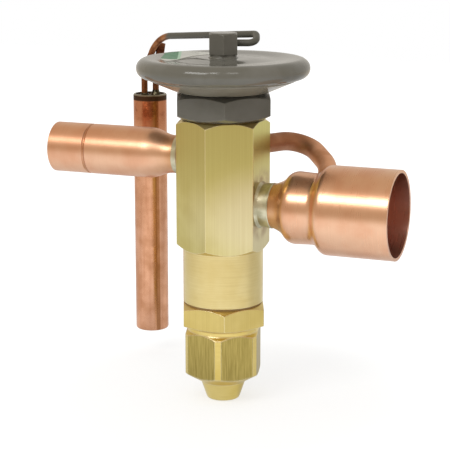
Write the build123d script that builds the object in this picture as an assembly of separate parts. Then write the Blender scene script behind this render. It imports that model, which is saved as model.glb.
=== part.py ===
"""Thermostatic expansion valve with solder fittings, power element, sensing bulb and seal cap.

The valve axis is vertical. While it is made, the axis is x = y = 0 and the outlet's centre line is z = 0,
with +X towards the outlet's mouth. Each node is then moved so that the origin is the centre of that mouth.
"""

import os
from math import cos, radians, sin

from build123d import *

# ---------------------------------------------------------------- driving dimensions, mm and degrees

# Brass body, cut from 1-1/8 in hexagon bar
BODY_AF = 28.575
BODY_TOP = 29.2
BODY_FOOT = -35.3
HEX_FOOT = -16.4
BARREL_R = 14.08
NECK_R = 11.5
NECK_TOP = 35.6

# Solder fittings: 1-1/8 in outlet and 5/8 in inlet, sized to take the tube inside
OUTLET_REACH = 63.27
OUTLET_OD = 30.84
OUTLET_ID = 28.68
OUTLET_NECK_OD = 14.2
OUTLET_CUP_START = 40.3
INLET_REACH = 64.31
INLET_Z = 15.7
INLET_OD = 17.86
INLET_ID = 15.96
INLET_NECK_OD = 13.3
INLET_DEPTH = 13.4
NECK_SEAT = 3.0

# External equalizer tube, from the body's 60 degree flat to the outlet fitting's waist
EQUALIZER_OD = 6.7
EQUALIZER_WALL = 0.8
EQUALIZER_FLAT = 60
EQUALIZER_Z = 18.6
EQUALIZER_RUN = 37.5
EQUALIZER_ELBOW = (33.7, 16.7, 11.3)
EQUALIZER_BENDS = [8.3, 15.0]
EQUALIZER_END = (33.7, 9.9, 6.7)

# Power element
ELEMENT_TURN = 23.3
ELEMENT_NUT_AF = 31.75
ELEMENT_NUT_FOOT = 29.65
ELEMENT_NUT_TOP = 38.65
ELEMENT_R = 29.9
RIM_R = 3.4
RIM_Z = 46.9
CASE_WALL = 1.2
CASE_TOP = 50.3
CASE_TROUGH_R = 17.0
CASE_TROUGH = 49.7
LABEL_CORNERS = [(-15.1, -13.9), (-9.2, 17.5), (-20.4, 15.2), (-24.6, 6.5), (-19.4, -9.6)]
DIAPHRAGM_Z = 46.6
DIAPHRAGM_WALL = 0.3

# Capillary plug, capillary tube and sensing bulb
BOSS_AF = 9.525
BOSS_TURN = 23
BOSS_FOOT = 51.55
BOSS_TOP = 58.9
CAPILLARY_OD = 2.4
CAPILLARY_ID = 0.9
CAPILLARY_START = (1.8, 2.4, 55.2)
CAPILLARY_CORNERS = [
    (10.05, 5.65, 55.2),
    (8.05, 10.75, 57.75),
    (-40.6, 35.9, 53.2),
    (-48.3, 39.85, 39.4),
]
CAPILLARY_BENDS = [3.05, 3.05, 15.0, 9.0]
BULB_OD = 12.7
BULB_WALL = 0.9
BULB_X = -46.4
BULB_Y = 40.6
BULB_TOP = 30.9
BULB_FOOT = -61.7
STUB_FOOT = (-44.6, 42.0)
STUB_TOP = (-40.6, 38.6, 50.3)

# Bottom cap, adjusting parts and seal cap
BOTTOM_TURN = 23.2
BOTTOM_CAP_AF = 28.15
BOTTOM_CAP_TOP = -36.0
BOTTOM_CAP_FOOT = -43.56
CHAMBER_R = 10.6
SPIGOT_TOP = -28.0
STUD_R = 9.5
STUD_FOOT = -52.0
STEM_R = 3.5
STEM_THREAD_R = 4.0
STEM_TOP = -11.0
STEM_FOOT = -61.5
STEM_SQUARE = 5.5
RUNNING_FIT = 0.05
GUIDE_TOP = -18.5
GUIDE_THICK = 4.0
SPRING_R = 6.35
SPRING_WIRE = 2.0
SPRING_PITCH = 3.6
CARRIER_FOOT = -2.5
CARRIER_TOP = 1.5
CARRIER_R = 9.6
SEAL_CAP_AF = 25.4
SEAL_CAP_TURN = 14.1
SEAL_CAP_TOP = -43.76
COLLAR_FOOT = -45.8
SEAL_CAP_SHOULDER = -64.86
NOSE_FOOT = -71.46

# Inner passages
ROD_R = 1.0
ROD_CIRCLE_R = 6.8
ROD_TURN = 105
ROD_TOP = 38.5
PORT_R = 5.0
PORT_FOOT = 3.6
PORT_TOP = 10.0
ORIFICE_R = 2.3


# ---------------------------------------------------------------- ways of making

def turned(profile):
    """A piece turned about the valve axis, from its half-section as (radius, height) points."""
    return revolve(make_face(Polyline(*[(r, 0, z) for r, z in profile], close=True)), Axis.Z)


def ring(inner_r, outer_r, low, high):
    """A plain ring about the valve axis."""
    return turned([(inner_r, low), (outer_r, low), (outer_r, high), (inner_r, high)])


def rod(radius, low, high, x=0.0, y=0.0):
    """A vertical rod, or the drill for its hole."""
    return Pos(x, y, (low + high) / 2) * Cylinder(radius, high - low)


def hexagon(across_flats, low, high, turn):
    """A hexagon bar with one flat facing turn degrees from +X."""
    outline = RegularPolygon(across_flats / 2, 6, major_radius=False, rotation=turn - 30)
    return extrude(Pos(0, 0, low) * outline, amount=high - low)


def cross_rod(radius, near, far, z, turn=0.0):
    """A horizontal rod along a ray from the valve axis, from near to far."""
    along = Rot(0, 0, turn) * Pos((near + far) / 2, 0, z) * Rot(0, 90, 0)
    return along * Cylinder(radius, far - near)


def tube(corners, bends, outer_d, inner_d):
    """A bent tube: straight runs joined by arcs that leave and meet them smoothly."""
    path = FilletPolyline(*corners, radius=bends)
    start = Plane(path @ 0, z_dir=path % 0)
    section = Circle(outer_d / 2) - Circle(inner_d / 2)
    return sweep(start * section, path)


def polar(radius, turn):
    """Plan position at a radius and angle from the valve axis."""
    return radius * cos(radians(turn)), radius * sin(radians(turn))


# ---------------------------------------------------------------- body and its passages

def valve_body():
    corner_r = 16.6
    bar = hexagon(BODY_AF, HEX_FOOT, BODY_TOP, 0)
    bar &= turned([(0, HEX_FOOT), (BARREL_R, HEX_FOOT), (corner_r, HEX_FOOT + 1.85),
                   (corner_r, BODY_TOP - 1.7), (14.4, BODY_TOP), (0, BODY_TOP)])
    body = bar + rod(BARREL_R, BODY_FOOT, HEX_FOOT) + rod(NECK_R, BODY_TOP, NECK_TOP)

    body -= rod(8.5, 25.0, NECK_TOP)                                    # equalizer chamber
    body -= rod(CHAMBER_R, BODY_FOOT, 3.0)                              # spring chamber
    body -= rod(PORT_R, 3.0, PORT_TOP)                                  # seat of the port
    body -= rod(3.2, PORT_TOP, 19.0)                                    # way down to the port
    body -= cross_rod(4.5, 0, BODY_AF / 2, INLET_Z, 180)
    body -= cross_rod(INLET_NECK_OD / 2, BODY_AF / 2 - NECK_SEAT, BODY_AF / 2, INLET_Z, 180)
    body -= cross_rod(6.0, 8, BODY_AF / 2, 0)
    body -= cross_rod(OUTLET_NECK_OD / 2, BODY_AF / 2 - NECK_SEAT, BODY_AF / 2, 0)

    body -= cross_rod(2.2, 6.0, BODY_AF / 2, EQUALIZER_Z, EQUALIZER_FLAT)
    seat = BODY_AF / 2 - 2.5
    body -= cross_rod(EQUALIZER_OD / 2, seat, BODY_AF / 2, EQUALIZER_Z, EQUALIZER_FLAT)
    body -= rod(1.5, EQUALIZER_Z, 25.0, *polar(6.6, EQUALIZER_FLAT))

    for side in (0, 180):
        place = polar(ROD_CIRCLE_R, ROD_TURN + side)
        body -= rod(ROD_R + RUNNING_FIT, 3.0, 25.0, *place)
        body -= rod(2.0, 21.8, 25.0, *place)                            # packing pocket
    keyway = Pos(0, CHAMBER_R, (BODY_FOOT - 10) / 2) * Box(2.4, 2.4, -10 - BODY_FOOT)
    return body - keyway


def valve_port():
    return turned([(ORIFICE_R, PORT_FOOT), (PORT_R, PORT_FOOT), (PORT_R, PORT_TOP - 0.5),
                   (PORT_R - 0.5, PORT_TOP), (3.2, PORT_TOP), (ORIFICE_R, PORT_TOP - 1.2)])


def rod_packing():
    rings = [ring(ROD_R + RUNNING_FIT, 2.0, 21.8, 24.8) for _ in range(2)]
    return Compound([Pos(*polar(ROD_CIRCLE_R, ROD_TURN + side), 0) * one
                     for one, side in zip(rings, (0, 180))])


# ---------------------------------------------------------------- solder fittings and their brazing

def outlet_outline(shrink, lag):
    """The fitting's long outline as (x, radius): neck, flare, waist and cup. shrink and lag set it inwards."""
    neck = OUTLET_NECK_OD / 2 - shrink
    bulge = 12.55 - shrink
    waist = 12.3 - shrink
    cup = OUTLET_OD / 2 - shrink
    flare_start, flare_end = (15.8 + lag, 0, neck), (28.2 + lag, 0, bulge)
    slow, steep = (20.2 + lag, 0, neck + 0.95), (23.4 + lag, 0, neck + 2.65)
    waist_start, waist_end = (32.6, 0, waist), (34.0, 0, waist)
    cup_start = (OUTLET_CUP_START + lag - 0.6, 0, cup)
    level = (1, 0, 0)
    return (Line((BODY_AF / 2 - NECK_SEAT, 0, neck), flare_start)
            + Spline(flare_start, slow, steep, flare_end, tangents=[level, level])
            + Line(flare_end, waist_start)
            + Line(waist_start, waist_end)
            + Spline(waist_end, cup_start, tangents=[level, level])
            + Line(cup_start, (OUTLET_REACH, 0, cup)))


def outlet_blank():
    """The fitting's outer form as a solid."""
    edge = outlet_outline(0, 0)
    start = BODY_AF / 2 - NECK_SEAT
    closing = Polyline((OUTLET_REACH, 0, OUTLET_OD / 2), (OUTLET_REACH, 0, 0), (start, 0, 0),
                       (start, 0, OUTLET_NECK_OD / 2))
    return revolve(make_face(edge.edges() + closing.edges()), Axis.X)


def outlet_fitting():
    wall = (OUTLET_OD - OUTLET_ID) / 2
    lag = 0.6
    start = BODY_AF / 2 - NECK_SEAT
    outer = outlet_outline(0, 0)
    inner = outlet_outline(wall, lag)
    ends = (Line((OUTLET_REACH, 0, OUTLET_OD / 2), (OUTLET_REACH, 0, OUTLET_ID / 2))
            + Line((start, 0, OUTLET_NECK_OD / 2), (start, 0, OUTLET_NECK_OD / 2 - wall)))
    shell = revolve(make_face(outer.edges() + inner.edges() + ends.edges()), Axis.X)
    return shell - equalizer_end_drill(EQUALIZER_OD / 2)


def equalizer_end_drill(radius):
    """A rod along the equalizer tube's last run, past the fitting's wall."""
    outside, end = Vector(*EQUALIZER_ELBOW), Vector(*EQUALIZER_END)
    along = (end - outside).normalized()
    return Plane(end - along * 4, z_dir=along) * Cylinder(
        radius, 6, align=(Align.CENTER, Align.CENTER, Align.MIN))


def inlet_outline(shrink, stop):
    """The inlet fitting's outline as (x, radius), with its rolled stop groove standing in by stop."""
    straight = INLET_OD / 2 - shrink
    neck = INLET_NECK_OD / 2 - shrink
    groove = -INLET_REACH + INLET_DEPTH + 0.6
    cone_start, cone_end = (-28.0, 0, straight), (-18.0, 0, neck)
    level = (1, 0, 0)
    return (Line((-INLET_REACH, 0, straight), (groove - 0.6, 0, straight))
            + ThreePointArc((groove - 0.6, 0, straight), (groove, 0, straight - stop),
                            (groove + 0.6, 0, straight))
            + Line((groove + 0.6, 0, straight), cone_start)
            + Spline(cone_start, cone_end, tangents=[level, level])
            + Line(cone_end, (NECK_SEAT - BODY_AF / 2, 0, neck)))


def inlet_fitting():
    wall = (INLET_OD - INLET_ID) / 2
    neck_end = NECK_SEAT - BODY_AF / 2
    outer, inner = inlet_outline(0, 0.45), inlet_outline(wall, 0.4)
    ends = (Line((-INLET_REACH, 0, INLET_OD / 2), (-INLET_REACH, 0, INLET_ID / 2))
            + Line((neck_end, 0, INLET_NECK_OD / 2), (neck_end, 0, INLET_NECK_OD / 2 - wall)))
    shell = revolve(make_face(outer.edges() + inner.edges() + ends.edges()), Axis.X)
    return Pos(0, 0, INLET_Z) * shell


def equalizer_tube():
    start, turning = polar(BODY_AF / 2 - 2.5, EQUALIZER_FLAT), polar(EQUALIZER_RUN, EQUALIZER_FLAT)
    corners = [(*start, EQUALIZER_Z), (*turning, EQUALIZER_Z), EQUALIZER_ELBOW, EQUALIZER_END]
    return tube(corners, EQUALIZER_BENDS, EQUALIZER_OD, EQUALIZER_OD - 2 * EQUALIZER_WALL)


def neck_braze(tube_d, z, turn):
    """A fillet of braze where a tube enters a flat of the body."""
    flat, inner, outer = BODY_AF / 2, tube_d / 2, tube_d / 2 + 1.1
    fillet = make_face(Polyline((flat, 0, inner), (flat, 0, outer), (flat + 0.3, 0, outer - 0.25),
                                (flat + 1.0, 0, inner + 0.35), (flat + 2.8, 0, inner + 0.08),
                                (flat + 2.9, 0, inner), close=True))
    return Rot(0, 0, turn) * Pos(0, 0, z) * revolve(fillet, Axis.X)


def outlet_braze():
    """A fillet and a collar of braze that ran out along the outlet fitting's neck."""
    flat, inner, outer = BODY_AF / 2, OUTLET_NECK_OD / 2, OUTLET_NECK_OD / 2 + 1.1
    collar = make_face(Polyline((flat, 0, inner), (flat, 0, outer), (flat + 0.3, 0, outer - 0.25),
                                (flat + 1.0, 0, inner + 0.45), (flat + 4.5, 0, inner + 0.85),
                                (flat + 4.8, 0, inner + 0.7), (flat + 4.8, 0, inner), close=True))
    return revolve(collar, Axis.X) - outlet_blank()


def equalizer_end_braze():
    """Braze round the equalizer tube where it enters the outlet fitting's waist."""
    outside, end = Vector(*EQUALIZER_ELBOW), Vector(*EQUALIZER_END)
    along = (end - outside).normalized()
    collar = Plane(end - along * 2.6, z_dir=along) * Cone(
        EQUALIZER_OD / 2 + 0.2, EQUALIZER_OD / 2 + 1.3, 2.2,
        align=(Align.CENTER, Align.CENTER, Align.MIN))
    return collar - outlet_blank() - equalizer_end_drill(EQUALIZER_OD / 2 + 0.02)


def inlet_strainer():
    """A coarse perforated cup pressed into the inlet fitting, open towards the mouth."""
    rim, wall = INLET_ID / 2 - 0.02, 0.4
    cup = revolve(make_face(Polyline(
        (-34, 0, rim), (-29, 0, rim), (-29, 0, 0), (-29 - wall, 0, 0), (-29 - wall, 0, rim - wall),
        (-34, 0, rim - wall), close=True)), Axis.X)
    holes = [(0, 0)] + [polar(2.6, 60 * n) for n in range(6)] + [polar(5.3, 30 * n) for n in range(12)]
    for across, up in holes:
        cup -= Pos(-29, across, up) * Rot(0, 90, 0) * Cylinder(0.9, 3)
    return Pos(0, 0, INLET_Z) * cup


# ---------------------------------------------------------------- power element

def element_nut():
    corner_r = 18.4
    nut = hexagon(ELEMENT_NUT_AF, ELEMENT_NUT_FOOT, ELEMENT_NUT_TOP, ELEMENT_TURN)
    nut &= turned([(0, ELEMENT_NUT_FOOT), (14.6, ELEMENT_NUT_FOOT), (corner_r, ELEMENT_NUT_FOOT + 1.85),
                   (corner_r, ELEMENT_NUT_TOP - 1.7), (14.2, ELEMENT_NUT_TOP), (0, ELEMENT_NUT_TOP)])
    nut -= rod(NECK_R, ELEMENT_NUT_FOOT, 36.4)
    return nut - rod(9.2, 36.4, ELEMENT_NUT_TOP)


def element_gasket():
    return ring(9.3, NECK_R - 0.2, NECK_TOP, 36.4)


def lower_case():
    """Coned pressing that stands on the nut and carries the diaphragm at its rim."""
    wall = CASE_WALL
    seat = DIAPHRAGM_Z - DIAPHRAGM_WALL / 2
    return turned([(9.2, ELEMENT_NUT_TOP), (14.6, ELEMENT_NUT_TOP), (16.2, ELEMENT_NUT_TOP + 0.25),
                   (25.2, 42.75), (25.2, seat - wall), (27.4, seat - wall), (27.8, seat - wall + 0.4),
                   (27.8, seat), (24.0, seat), (24.0, 42.75 + wall),
                   (16.0, ELEMENT_NUT_TOP + 0.25 + wall), (14.4, ELEMENT_NUT_TOP + wall),
                   (9.2, ELEMENT_NUT_TOP + wall)])


def dished(below):
    """The cover's shallow dish, from its flat middle to the crest of its rim, at a depth below its face."""
    middle = (8.0, 0, CASE_TOP - below)
    trough = (CASE_TROUGH_R, 0, CASE_TROUGH - below)
    crest = (ELEMENT_R - RIM_R, 0, RIM_Z + RIM_R - below)
    return Spline(middle, trough, crest, tangents=[(1, 0, 0), (1, 0, 0)])


def upper_case():
    """Shallow dished cover whose edge is rolled round the lower case."""
    centre_r = ELEMENT_R - RIM_R
    inner = RIM_R - CASE_WALL
    top, low = RIM_Z + RIM_R, RIM_Z - RIM_R
    outer_edge = (Line((4.0, 0, CASE_TOP), (8.0, 0, CASE_TOP))
                  + dished(0)
                  + ThreePointArc((centre_r, 0, top), (ELEMENT_R, 0, RIM_Z), (centre_r, 0, low))
                  + Line((centre_r, 0, low), (25.4, 0, low))
                  + Line((25.4, 0, low), (25.4, 0, low + CASE_WALL)))
    inner_edge = (Line((25.4, 0, low + CASE_WALL), (centre_r, 0, low + CASE_WALL))
                  + ThreePointArc((centre_r, 0, low + CASE_WALL), (centre_r + inner, 0, RIM_Z),
                                  (centre_r, 0, RIM_Z + inner))
                  + dished(CASE_WALL)
                  + Line((8.0, 0, CASE_TOP - CASE_WALL), (4.0, 0, CASE_TOP - CASE_WALL))
                  + Line((4.0, 0, CASE_TOP - CASE_WALL), (4.0, 0, CASE_TOP)))
    return revolve(make_face(outer_edge.edges() + inner_edge.edges()), Axis.Z)


def diaphragm():
    """Thin steel disc with ring corrugations, flat at the centre and at the clamped rim."""
    half = DIAPHRAGM_WALL / 2
    crest, first, step, waves = 0.35, 15.6, 1.0, 8
    line = [(first + n * step, DIAPHRAGM_Z + crest * (n % 2)) for n in range(waves + 1)]
    upper = [(0, DIAPHRAGM_Z + half)] + [(r, z + half) for r, z in line] + [(27.8, DIAPHRAGM_Z + half)]
    lower = [(r, z - DIAPHRAGM_WALL) for r, z in reversed(upper)]
    return turned(upper + lower)


def buffer_plate():
    """Thrust plate that hands the diaphragm's push to the rods."""
    top = DIAPHRAGM_Z - DIAPHRAGM_WALL / 2
    return turned([(0, ROD_TOP), (8.0, ROD_TOP), (8.6, ROD_TOP + 0.6), (8.6, top - 2.6),
                   (13.6, top - 1.6), (14.6, top - 0.8), (14.0, top), (0, top)])


def element_label():
    """Thin sticker that follows the cover's dish, between its boss and its rim."""
    lift, thick = 0.01, 0.12
    low, high = dished(-lift), dished(-lift - thick)
    ends = [Line(low @ end, high @ end) for end in (0, 1)]
    skin = revolve(make_face(low.edges() + high.edges() + ends[0].edges() + ends[1].edges()), Axis.Z)
    window = extrude(Pos(0, 0, CASE_TROUGH - 3) * make_face(Polyline(*LABEL_CORNERS, close=True)), amount=6)
    return skin & window


# ---------------------------------------------------------------- capillary, bulb and filling stub

def capillary_boss():
    boss = hexagon(BOSS_AF, BOSS_FOOT, BOSS_TOP, BOSS_TURN)
    boss &= turned([(0, CASE_TOP), (5.6, CASE_TOP), (5.6, BOSS_TOP - 0.75), (4.5, BOSS_TOP), (0, BOSS_TOP)])
    boss += turned([(0, CASE_TOP), (5.2, CASE_TOP), (4.7, CASE_TOP + 0.35), (4.7, BOSS_FOOT), (0, BOSS_FOOT)])
    boss += rod(4.0, CASE_TOP - CASE_WALL, CASE_TOP)
    boss -= rod(CAPILLARY_ID / 2, CASE_TOP - CASE_WALL, CAPILLARY_START[2])
    first, second = Vector(*CAPILLARY_START), Vector(*CAPILLARY_CORNERS[0])
    side_hole = Plane(first, z_dir=second - first) * Cylinder(
        CAPILLARY_OD / 2, 8, align=(Align.CENTER, Align.CENTER, Align.MIN))
    return boss - side_hole


def capillary_tube():
    foot = (CAPILLARY_CORNERS[-1][0], CAPILLARY_CORNERS[-1][1], BULB_TOP - 4.0)
    corners = [CAPILLARY_START, *CAPILLARY_CORNERS, foot]
    return tube(corners, CAPILLARY_BENDS, CAPILLARY_OD, CAPILLARY_ID)


def sensing_bulb():
    """Drawn copper shell with a domed foot and an open top for the plug."""
    outer, inner = BULB_OD / 2, BULB_OD / 2 - BULB_WALL
    dome = 0.9
    slack = dome * (1 - cos(radians(45)))
    outline = (Line((0, 0, BULB_FOOT), (outer - dome, 0, BULB_FOOT))
               + ThreePointArc((outer - dome, 0, BULB_FOOT), (outer - slack, 0, BULB_FOOT + slack),
                               (outer, 0, BULB_FOOT + dome))
               + Polyline((outer, 0, BULB_FOOT + dome), (outer, 0, BULB_TOP - 0.3), (outer - 0.3, 0, BULB_TOP),
                          (inner, 0, BULB_TOP), (inner, 0, BULB_FOOT + 2.4),
                          (inner - 1.2, 0, BULB_FOOT + 1.0), (0, 0, BULB_FOOT + 1.0), (0, 0, BULB_FOOT)))
    return Pos(BULB_X, BULB_Y, 0) * revolve(make_face(outline.edges()), Axis.Z)


def bulb_plug():
    plug = Pos(BULB_X, BULB_Y, 0) * ring(0.0, BULB_OD / 2 - BULB_WALL, BULB_TOP - 3.6, BULB_TOP - 0.6)
    capillary_x, capillary_y, _ = CAPILLARY_CORNERS[-1]
    plug -= rod(CAPILLARY_OD / 2, BULB_TOP - 4, BULB_TOP, capillary_x, capillary_y)
    return plug - rod(CAPILLARY_OD / 2, BULB_TOP - 4, BULB_TOP, *STUB_FOOT)


def bulb_brazes():
    """Cones of braze round the capillary and the filling stub, on the bulb's plug."""
    level = BULB_TOP - 0.6
    places = [(CAPILLARY_CORNERS[-1][:2], 0.7, 0.9), (STUB_FOOT, 0.85, 2.0)]
    cones = []
    for (x, y), spread, rise in places:
        bore = CAPILLARY_OD / 2
        cone = turned([(bore, level), (bore + spread, level), (bore + 0.25, level + rise * 0.6),
                       (bore + 0.02, level + rise), (bore, level + rise)])
        cones.append(Pos(x, y, 0) * cone)
    return Compound(cones)


def charging_stub():
    """Filling tube, pinched flat and sealed where it was cut off after charging."""
    radius = CAPILLARY_OD / 2
    foot, bend, top = Vector(*STUB_FOOT, BULB_TOP - 3.6), Vector(*STUB_FOOT, BULB_TOP + 3.4), Vector(*STUB_TOP)
    flat_start = bend + (top - bend) * 0.58
    blade_start = bend + (top - bend) * 0.71
    along = top - bend
    path = FilletPolyline(foot, bend, flat_start, radius=4.0)
    round_part = sweep(Plane(path @ 0, z_dir=path % 0) * Circle(radius), path)
    wide = Vector(0.93, 0.37, 0)
    pinch = loft([Plane(flat_start, x_dir=wide, z_dir=along) * Circle(radius),
                  Plane(blade_start, x_dir=wide, z_dir=along) * Ellipse(1.6, 0.6)])
    blade = extrude(Plane(blade_start, x_dir=wide, z_dir=along) * Ellipse(1.6, 0.6),
                    amount=(top - blade_start).length)
    return round_part + pinch + blade


# ---------------------------------------------------------------- pin, spring and adjusting parts

def valve_pin():
    gap = 0.04
    return turned([(0, CARRIER_FOOT), (1.5, CARRIER_FOOT), (1.5, 2.6), (2.9, 2.6), (2.9, PORT_FOOT - 0.3),
                   (ORIFICE_R - gap, PORT_FOOT), (0.5, 8.2), (0, 8.4)])


def pin_carrier():
    """Round carrier with flow scallops, a boss for the pin and a hub that centres the spring."""
    carrier = turned([(1.5, CARRIER_FOOT - 3.5), (4.6, CARRIER_FOOT - 3.5), (5.2, CARRIER_FOOT - 3.0),
                      (5.2, CARRIER_FOOT), (CARRIER_R, CARRIER_FOOT), (CARRIER_R, CARRIER_TOP),
                      (3.2, CARRIER_TOP), (3.2, 2.6), (1.5, 2.6)])
    for side in (15, 75, 195, 255):
        carrier -= rod(2.4, CARRIER_FOOT, CARRIER_TOP, *polar(10.4, side))
    return carrier


def push_rods():
    length = ROD_TOP - CARRIER_TOP
    rods = []
    for side in (0, 180):
        x, y = polar(ROD_CIRCLE_R, ROD_TURN + side)
        rods.append(Pos(x, y, CARRIER_TOP + length / 2) * Cylinder(ROD_R, length))
    return Compound(rods)


def superheat_spring():
    """Coil spring with ground ends, between the pin carrier and the spring guide."""
    height = CARRIER_FOOT - GUIDE_TOP
    low, turns_height = GUIDE_TOP - 0.5, height + 1.0
    path = Pos(0, 0, low) * Helix(SPRING_PITCH, turns_height, SPRING_R)
    coil = sweep(Plane(path @ 0, z_dir=path % 0) * Circle(SPRING_WIRE / 2), path, is_frenet=True)
    return coil & rod(SPRING_R + SPRING_WIRE, GUIDE_TOP, CARRIER_FOOT)


def spring_guide():
    """Threaded plate with a hub for the spring and a key that stops it from turning."""
    bore = STEM_THREAD_R + RUNNING_FIT
    guide = turned([(bore, GUIDE_TOP - GUIDE_THICK), (9.8, GUIDE_TOP - GUIDE_THICK), (10.1, GUIDE_TOP - 3.6),
                    (10.1, GUIDE_TOP), (5.2, GUIDE_TOP), (5.2, GUIDE_TOP + 1.6), (4.9, GUIDE_TOP + 2.0),
                    (bore, GUIDE_TOP + 2.0)])
    key = Pos(0, 9.9, GUIDE_TOP - GUIDE_THICK / 2) * Box(1.8, 2.4, GUIDE_THICK)
    return guide + key


def adjusting_stem():
    """Stem with its thread in the guide, a collar inside the bottom cap and a square for the key."""
    collar_foot, collar_top = -40.95, -37.5
    stem = turned([(0, STEM_FOOT), (STEM_R, STEM_FOOT), (STEM_R, collar_foot), (5.9, collar_foot),
                   (5.9, collar_top), (STEM_THREAD_R, collar_top), (STEM_THREAD_R, STEM_TOP - 0.8),
                   (STEM_THREAD_R - 0.8, STEM_TOP), (0, STEM_TOP)])
    square_top = -54.0
    middle = (STEM_FOOT + square_top) / 2
    cutter = Pos(0, 0, middle) * (Box(20, 20, square_top - STEM_FOOT)
                                  - Rot(0, 0, 20) * Box(STEM_SQUARE, STEM_SQUARE, square_top - STEM_FOOT))
    return stem - cutter


def bottom_gasket():
    return ring(CHAMBER_R, 13.7, BOTTOM_CAP_TOP, BODY_FOOT)


def bottom_cap():
    """Hexagon cap that closes the spring chamber, with the stud that the seal cap screws on."""
    corner_r = 16.4
    cap = hexagon(BOTTOM_CAP_AF, BOTTOM_CAP_FOOT, BOTTOM_CAP_TOP, BOTTOM_TURN)
    cap &= turned([(0, BOTTOM_CAP_FOOT), (14.2, BOTTOM_CAP_FOOT), (corner_r, BOTTOM_CAP_FOOT + 0.6),
                   (corner_r, BOTTOM_CAP_TOP - 1.35), (13.9, BOTTOM_CAP_TOP), (0, BOTTOM_CAP_TOP)])
    cap += rod(CHAMBER_R, BOTTOM_CAP_TOP, SPIGOT_TOP)
    cap += turned([(0, STUD_FOOT), (STUD_R - 0.8, STUD_FOOT), (STUD_R, STUD_FOOT + 0.8),
                   (STUD_R, BOTTOM_CAP_FOOT), (0, BOTTOM_CAP_FOOT)])
    cap -= rod(6.2, -41.0, SPIGOT_TOP)
    cap -= rod(STEM_R + RUNNING_FIT, -44.1, -41.0)
    return cap - rod(6.0, STUD_FOOT, -44.1)


def stem_packing():
    return ring(STEM_R + RUNNING_FIT, 6.0, -47.1, -44.1)


def packing_nut():
    nut = ring(STEM_R + RUNNING_FIT, 6.0, STUD_FOOT + 0.1, -47.1)
    return nut - Pos(0, 0, STUD_FOOT + 0.7) * Box(14, 1.8, 1.2)


def cap_washer():
    return ring(6.6, 9.4, STUD_FOOT - 1.05, STUD_FOOT - 0.05)


def seal_cap():
    """Hexagon cap with a turned collar above and a coned nose below."""
    blank = turned([(0, NOSE_FOOT), (5.0, NOSE_FOOT), (5.7, NOSE_FOOT + 0.25), (6.0, NOSE_FOOT + 0.8),
                    (8.0, SEAL_CAP_SHOULDER), (14.06, -61.2), (14.06, COLLAR_FOOT - 1.1),
                    (12.6, COLLAR_FOOT), (12.6, SEAL_CAP_TOP - 0.5), (12.1, SEAL_CAP_TOP), (0, SEAL_CAP_TOP)])
    grip = blank & hexagon(SEAL_CAP_AF, NOSE_FOOT - 1, SEAL_CAP_TOP + 1, SEAL_CAP_TURN)
    hollow = turned([(0, -66.5), (4.2, -65.0), (5.0, -64.0), (5.0, -60.0), (6.3, -58.7),
                     (6.3, STUD_FOOT - 1.1), (STUD_R + 0.3, STUD_FOOT - 1.1),
                     (STUD_R + 0.3, SEAL_CAP_TOP - 0.6), (STUD_R + 0.9, SEAL_CAP_TOP), (0, SEAL_CAP_TOP)])
    return grip - hollow


# ---------------------------------------------------------------- the nodes

NODES = {
    "valve_body": valve_body,
    "valve_port": valve_port,
    "rod_packing": rod_packing,
    "outlet_fitting": outlet_fitting,
    "inlet_fitting": inlet_fitting,
    "equalizer_tube": equalizer_tube,
    "inlet_braze": lambda: neck_braze(INLET_NECK_OD, INLET_Z, 180),
    "outlet_braze": outlet_braze,
    "equalizer_body_braze": lambda: neck_braze(EQUALIZER_OD, EQUALIZER_Z, EQUALIZER_FLAT),
    "equalizer_end_braze": equalizer_end_braze,
    "inlet_strainer": inlet_strainer,
    "element_nut": element_nut,
    "element_gasket": element_gasket,
    "lower_case": lower_case,
    "upper_case": upper_case,
    "diaphragm": diaphragm,
    "buffer_plate": buffer_plate,
    "element_label": element_label,
    "capillary_boss": capillary_boss,
    "capillary_tube": capillary_tube,
    "sensing_bulb": sensing_bulb,
    "bulb_plug": bulb_plug,
    "bulb_brazes": bulb_brazes,
    "charging_stub": charging_stub,
    "valve_pin": valve_pin,
    "pin_carrier": pin_carrier,
    "push_rods": push_rods,
    "superheat_spring": superheat_spring,
    "spring_guide": spring_guide,
    "adjusting_stem": adjusting_stem,
    "bottom_gasket": bottom_gasket,
    "bottom_cap": bottom_cap,
    "stem_packing": stem_packing,
    "packing_nut": packing_nut,
    "cap_washer": cap_washer,
    "seal_cap": seal_cap,
}

os.makedirs("parts", exist_ok=True)
to_mouth = Pos(-OUTLET_REACH, 0, 0)
for name, make in NODES.items():
    export_step(to_mouth * make(), f"parts/{name}.step")
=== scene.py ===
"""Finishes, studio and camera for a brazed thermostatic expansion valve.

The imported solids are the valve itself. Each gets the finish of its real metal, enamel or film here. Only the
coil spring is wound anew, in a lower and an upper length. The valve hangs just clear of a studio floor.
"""
import math

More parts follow.
